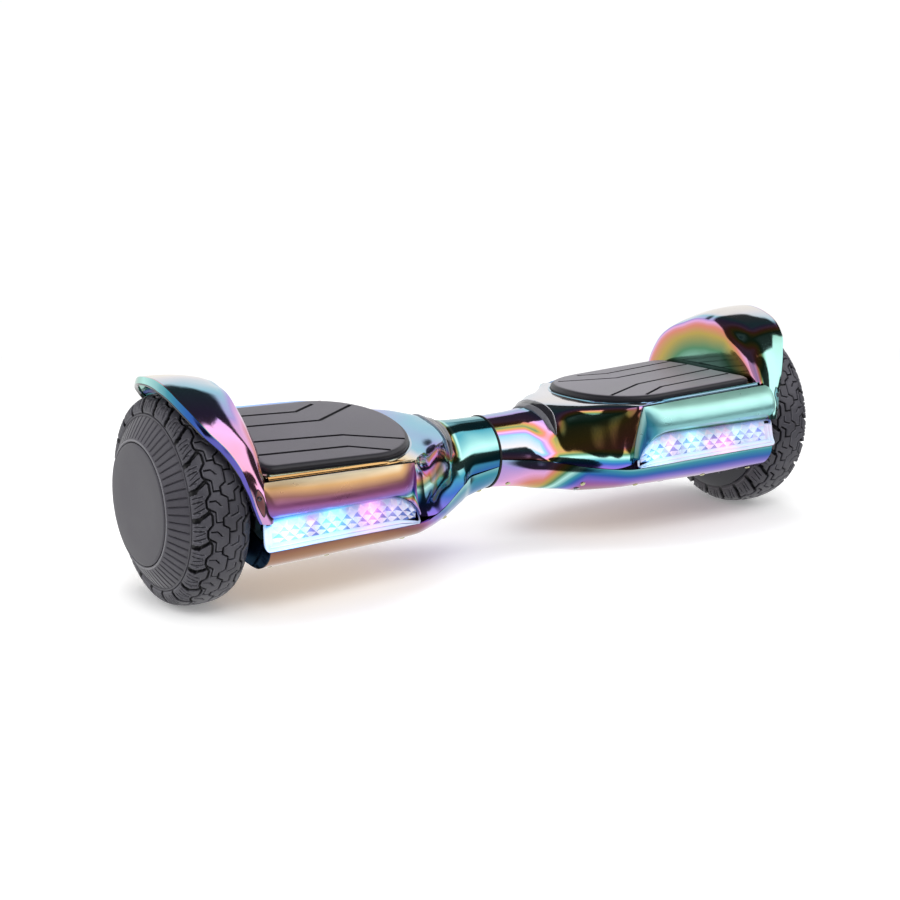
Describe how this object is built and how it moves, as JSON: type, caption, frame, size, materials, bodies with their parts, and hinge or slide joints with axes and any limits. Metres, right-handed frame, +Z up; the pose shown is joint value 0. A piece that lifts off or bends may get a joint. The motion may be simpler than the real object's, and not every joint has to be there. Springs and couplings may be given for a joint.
{
  "type": "self balancing board",
  "caption": "Self balancing board: twisting half bodies on a central pivot, arched fenders, hub-motor wheels with off-road tyres, front lamps and pressure foot pads.",
  "frame": {"origin": "on the ground, in the middle of the overall size; the axle line runs 2.5 mm behind it and 85 mm up", "axes": "+X along the axles to the right wheel, +Y to the rear, +Z up; the lamps face -Y"},
  "size_m": [0.6456, 0.197, 0.1895],
  "materials": {
    "iridescent_shell": "vacuum metallised, colour-shifting mirror gloss",
    "clear_lens": "clear moulded lens, faceted",
    "led_board": "white board, lit diodes",
    "cast_aluminium": "as cast, lightly machined",
    "steel": "machined",
    "screw_steel": "dome head, plated",
    "stator_winding": "laminations with enamelled windings",
    "magnet": "nickel plated",
    "circuit_board": "solder mask",
    "battery_wrap": "shrink wrap",
    "gloss_trim": "polished black",
    "black_plastic": "fine satin texture",
    "cable": "smooth jacket",
    "seal_rubber": "matt",
    "pad_rubber": "fine matt grain",
    "tyre_rubber": "moulded tread",
    "bronze": "sintered"
  },
  "bodies": {
    "right_half": {"top_shell_R": "iridescent_shell", "bottom_shell_R": "iridescent_shell", "fender_R": "iridescent_shell", "led_lens_R": "clear_lens", "led_board_R": "led_board", "chassis_R": "cast_aluminium", "axle_R": "steel", "axle_clamp_R": "cast_aluminium", "stator_R": "stator_winding", "sensor_board_R": "circuit_board", "crescent_trim_R": "gloss_trim", "motor_cable_R": "cable", "shell_screw_1_R": "screw_steel", "shell_screw_2_R": "screw_steel", "shell_screw_3_R": "screw_steel", "fender_screw_R": "screw_steel", "pivot_shaft": "steel", "circlip": "steel", "seam_seal": "seal_rubber", "battery_pack": "battery_wrap", "charge_port": "black_plastic"},
    "left_half": {"top_shell_L": "iridescent_shell", "bottom_shell_L": "iridescent_shell", "fender_L": "iridescent_shell", "led_lens_L": "clear_lens", "led_board_L": "led_board", "chassis_L": "cast_aluminium", "axle_L": "steel", "axle_clamp_L": "cast_aluminium", "stator_L": "stator_winding", "sensor_board_L": "circuit_board", "crescent_trim_L": "gloss_trim", "motor_cable_L": "cable", "shell_screw_1_L": "screw_steel", "shell_screw_2_L": "screw_steel", "shell_screw_3_L": "screw_steel", "fender_screw_L": "screw_steel", "pivot_bush": "bronze", "main_board": "circuit_board"},
    "wheel_right": {"tyre_R": "tyre_rubber", "rim_R": "cast_aluminium", "magnet_ring_R": "magnet", "motor_side_cover_R": "black_plastic", "bearing_outer_R": "steel", "bearing_inner_R": "steel", "wheel_cover_R": "black_plastic", "hub_cap_R": "black_plastic"},
    "wheel_left": {"tyre_L": "tyre_rubber", "rim_L": "cast_aluminium", "magnet_ring_L": "magnet", "motor_side_cover_L": "black_plastic", "bearing_outer_L": "steel", "bearing_inner_L": "steel", "wheel_cover_L": "black_plastic", "hub_cap_L": "black_plastic"},
    "pad_right": {"foot_pad_R": "pad_rubber"},
    "pad_left": {"foot_pad_L": "pad_rubber"},
    "button": {"power_button": "steel"},
    "port_cover": {"charge_port_cover": "seal_rubber"}
  },
  "joints": [
    {"name": "pivot_twist", "type": "hinge", "parent": "right_half", "child": "left_half", "pos_m": [0, 0.00245, 0.085], "axis": [1, 0, 0], "range_deg": [-22.9, 1.1]},
    {"name": "right_wheel_spin", "type": "hinge", "parent": "right_half", "child": "wheel_right", "pos_m": [0.286, 0.00245, 0.085], "axis": [1, 0, 0], "continuous": true},
    {"name": "left_wheel_spin", "type": "hinge", "parent": "left_half", "child": "wheel_left", "pos_m": [-0.286, 0.00245, 0.085], "axis": [1, 0, 0], "continuous": true},
    {"name": "right_pad_press", "type": "slide", "parent": "right_half", "child": "pad_right", "axis": [0, 0, -1], "range_m": [0, 0.0015], "stiffness_N_per_m": 20000},
    {"name": "left_pad_press", "type": "slide", "parent": "left_half", "child": "pad_left", "axis": [0, 0.1891, -0.982], "range_m": [0, 0.0015], "stiffness_N_per_m": 20000},
    {"name": "power_button_press", "type": "slide", "parent": "right_half", "child": "button", "axis": [0, -0.9634, -0.268], "range_m": [0, 0.001], "stiffness_N_per_m": 2000},
    {"name": "charge_cover_flip", "type": "hinge", "parent": "right_half", "child": "port_cover", "pos_m": [0.2, 0.08795, 0.09097], "axis": [1, 0, 0], "range_deg": [0, 75]}
  ]
}
